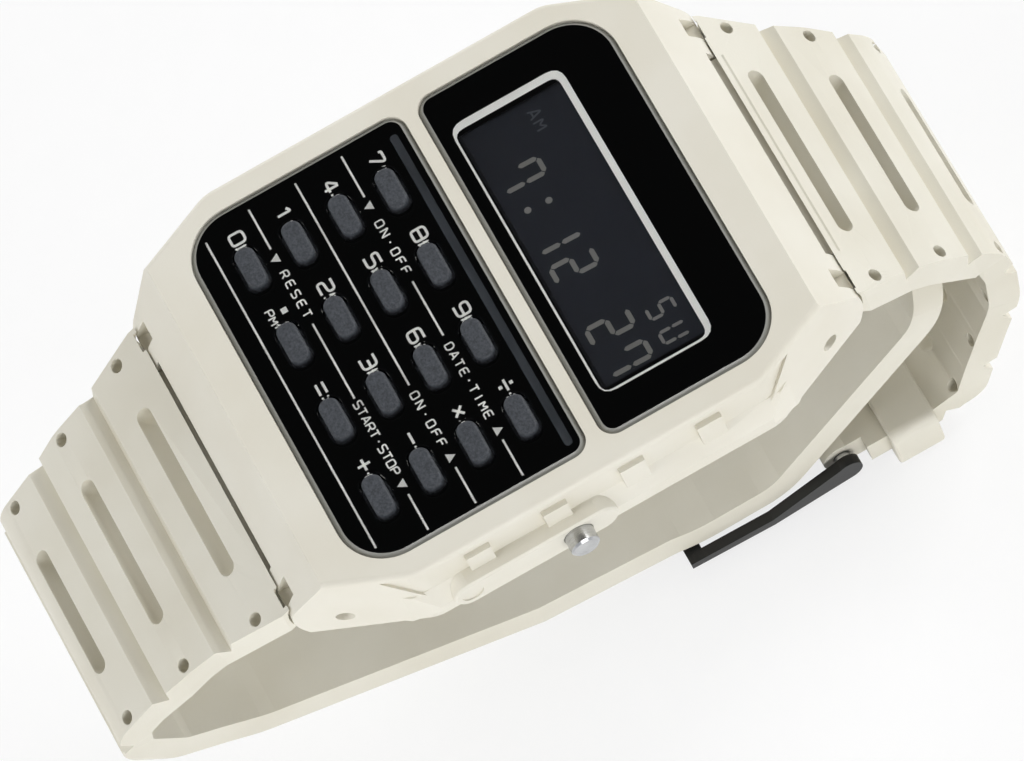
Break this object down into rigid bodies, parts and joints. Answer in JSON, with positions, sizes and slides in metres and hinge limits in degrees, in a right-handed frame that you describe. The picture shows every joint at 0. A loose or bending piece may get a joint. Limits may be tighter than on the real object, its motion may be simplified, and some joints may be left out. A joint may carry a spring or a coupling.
{
  "type": "calculator watch",
  "caption": "Digital wristwatch with calculator keys in a resin case, side push buttons, a slotted resin strap closed into a ring, and a pin buckle with a keeper.",
  "frame": {"origin": "centre of the case back's outer face", "axes": "+X towards 3 o'clock, +Y towards 12 o'clock, +Z out through the lenses"},
  "size_m": [0.0355, 0.0688, 0.0377],
  "materials": {
    "case_resin": "satin",
    "strap_resin": "satin",
    "lens_clear": "gloss",
    "film_black": "gloss",
    "tape_white": "matte",
    "key_grey": "matte",
    "rubber_dark": "matte",
    "frame_plastic": "matte",
    "lcd_navy": "gloss",
    "polariser_film": "satin",
    "board_green": "satin",
    "chip_epoxy": "satin",
    "steel": "brushed",
    "battery_can": "satin",
    "piezo_brass": "satin",
    "insulator_clear": "satin",
    "buckle_black": "satin",
    "pin_steel": "brushed"
  },
  "bodies": {
    "case_head": {"case": "case_resin", "display_lens": "lens_clear", "keypad_lens": "lens_clear", "display_mask": "film_black", "keypad_mask": "film_black", "display_tape": "tape_white", "keypad_tape": "tape_white", "key_sheet": "rubber_dark", "upper_frame": "frame_plastic", "lcd_cell": "lcd_navy", "lcd_polariser": "polariser_film", "lcd_connector_low": "rubber_dark", "lcd_connector_high": "rubber_dark", "circuit_board": "board_green", "chip_blob": "chip_epoxy", "quartz_crystal": "steel", "lower_frame": "frame_plastic", "battery": "battery_can", "battery_clip": "steel", "battery_contact": "steel", "piezo_disc": "piezo_brass", "insulator_sheet": "insulator_clear", "case_gasket": "rubber_dark", "case_back": "steel", "back_screw_1": "steel", "back_screw_2": "steel", "back_screw_3": "steel", "back_screw_4": "steel", "mode_button_spring": "steel", "adjust_button_spring": "steel", "spring_bar_6": "steel", "spring_bar_12": "steel"},
    "key_0": {"key_0": "key_grey"},
    "key_1": {"key_1": "key_grey"},
    "key_2": {"key_2": "key_grey"},
    "key_3": {"key_3": "key_grey"},
    "key_4": {"key_4": "key_grey"},
    "key_5": {"key_5": "key_grey"},
    "key_6": {"key_6": "key_grey"},
    "key_7": {"key_7": "key_grey"},
    "key_8": {"key_8": "key_grey"},
    "key_9": {"key_9": "key_grey"},
    "key_divide": {"key_divide": "key_grey"},
    "key_equals": {"key_equals": "key_grey"},
    "key_minus": {"key_minus": "key_grey"},
    "key_plus": {"key_plus": "key_grey"},
    "key_point": {"key_point": "key_grey"},
    "key_times": {"key_times": "key_grey"},
    "mode_button": {"mode_button": "steel", "mode_button_seal": "rubber_dark", "mode_button_clip": "steel"},
    "adjust_button": {"adjust_button": "steel", "adjust_button_seal": "rubber_dark", "adjust_button_clip": "steel"},
    "strap_long": {"strap_long": "strap_resin"},
    "strap_short": {"strap_short": "strap_resin"},
    "buckle": {"buckle_frame": "buckle_black", "buckle_pin": "pin_steel"},
    "tongue": {"buckle_tongue": "buckle_black"},
    "keeper": {"keeper": "strap_resin"}
  },
  "joints": [
    {"name": "key_0_press", "type": "slide", "parent": "case_head", "child": "key_0", "axis": [0, 0, -1], "range_m": [0, 0.0004], "stiffness_N_per_m": 800, "springref_m": -0.0003},
    {"name": "key_1_press", "type": "slide", "parent": "case_head", "child": "key_1", "axis": [0, 0, -1], "range_m": [0, 0.0004], "stiffness_N_per_m": 800, "springref_m": -0.0003},
    {"name": "key_2_press", "type": "slide", "parent": "case_head", "child": "key_2", "axis": [0, 0, -1], "range_m": [0, 0.0004], "stiffness_N_per_m": 800, "springref_m": -0.0003},
    {"name": "key_3_press", "type": "slide", "parent": "case_head", "child": "key_3", "axis": [0, 0, -1], "range_m": [0, 0.0004], "stiffness_N_per_m": 800, "springref_m": -0.0003},
    {"name": "key_4_press", "type": "slide", "parent": "case_head", "child": "key_4", "axis": [0, 0, -1], "range_m": [0, 0.0004], "stiffness_N_per_m": 800, "springref_m": -0.0003},
    {"name": "key_5_press", "type": "slide", "parent": "case_head", "child": "key_5", "axis": [0, 0, -1], "range_m": [0, 0.0004], "stiffness_N_per_m": 800, "springref_m": -0.0003},
    {"name": "key_6_press", "type": "slide", "parent": "case_head", "child": "key_6", "axis": [0, 0, -1], "range_m": [0, 0.0004], "stiffness_N_per_m": 800, "springref_m": -0.0003},
    {"name": "key_7_press", "type": "slide", "parent": "case_head", "child": "key_7", "axis": [0, 0, -1], "range_m": [0, 0.0004], "stiffness_N_per_m": 800, "springref_m": -0.0003},
    {"name": "key_8_press", "type": "slide", "parent": "case_head", "child": "key_8", "axis": [0, 0, -1], "range_m": [0, 0.0004], "stiffness_N_per_m": 800, "springref_m": -0.0003},
    {"name": "key_9_press", "type": "slide", "parent": "case_head", "child": "key_9", "axis": [0, 0, -1], "range_m": [0, 0.0004], "stiffness_N_per_m": 800, "springref_m": -0.0003},
    {"name": "key_divide_press", "type": "slide", "parent": "case_head", "child": "key_divide", "axis": [0, 0, -1], "range_m": [0, 0.0004], "stiffness_N_per_m": 800, "springref_m": -0.0003},
    {"name": "key_equals_press", "type": "slide", "parent": "case_head", "child": "key_equals", "axis": [0, 0, -1], "range_m": [0, 0.0004], "stiffness_N_per_m": 800, "springref_m": -0.0003},
    {"name": "key_minus_press", "type": "slide", "parent": "case_head", "child": "key_minus", "axis": [0, 0, -1], "range_m": [0, 0.0004], "stiffness_N_per_m": 800, "springref_m": -0.0003},
    {"name": "key_plus_press", "type": "slide", "parent": "case_head", "child": "key_plus", "axis": [0, 0, -1], "range_m": [0, 0.0004], "stiffness_N_per_m": 800, "springref_m": -0.0003},
    {"name": "key_point_press", "type": "slide", "parent": "case_head", "child": "key_point", "axis": [0, 0, -1], "range_m": [0, 0.0004], "stiffness_N_per_m": 800, "springref_m": -0.0003},
    {"name": "key_times_press", "type": "slide", "parent": "case_head", "child": "key_times", "axis": [0, 0, -1], "range_m": [0, 0.0004], "stiffness_N_per_m": 800, "springref_m": -0.0003},
    {"name": "mode_button_press", "type": "slide", "parent": "case_head", "child": "mode_button", "axis": [-1, 0, 0], "range_m": [0, 0.0006], "stiffness_N_per_m": 1000, "springref_m": -0.0005, "deforming": ["mode_button_spring"]},
    {"name": "adjust_button_press", "type": "slide", "parent": "case_head", "child": "adjust_button", "axis": [1, 0, 0], "range_m": [0, 0.0006], "stiffness_N_per_m": 1000, "springref_m": -0.0005, "deforming": ["adjust_button_spring"]},
    {"name": "strap_long_hinge", "type": "hinge", "parent": "case_head", "child": "strap_long", "pos_m": [0, -0.0184, 0.0026], "axis": [1, 0, 0], "range_deg": [0, 1.5]},
    {"name": "strap_short_hinge", "type": "hinge", "parent": "case_head", "child": "strap_short", "pos_m": [0, 0.0184, 0.0026], "axis": [1, 0, 0], "range_deg": [0, 18]},
    {"name": "buckle_hinge", "type": "hinge", "parent": "strap_short", "child": "buckle", "pos_m": [0, 0.0166, -0.0272], "axis": [1, 0, 0], "range_deg": [0, 40]},
    {"name": "tongue_hinge", "type": "hinge", "parent": "buckle", "child": "tongue", "pos_m": [0, 0.0166, -0.0272], "axis": [1, 0, 0], "range_deg": [0, 45]},
    {"name": "keeper_slide", "type": "slide", "parent": "strap_short", "child": "keeper", "axis": [0, 1, 0], "range_m": [-0.0012, 0]}
  ]
}
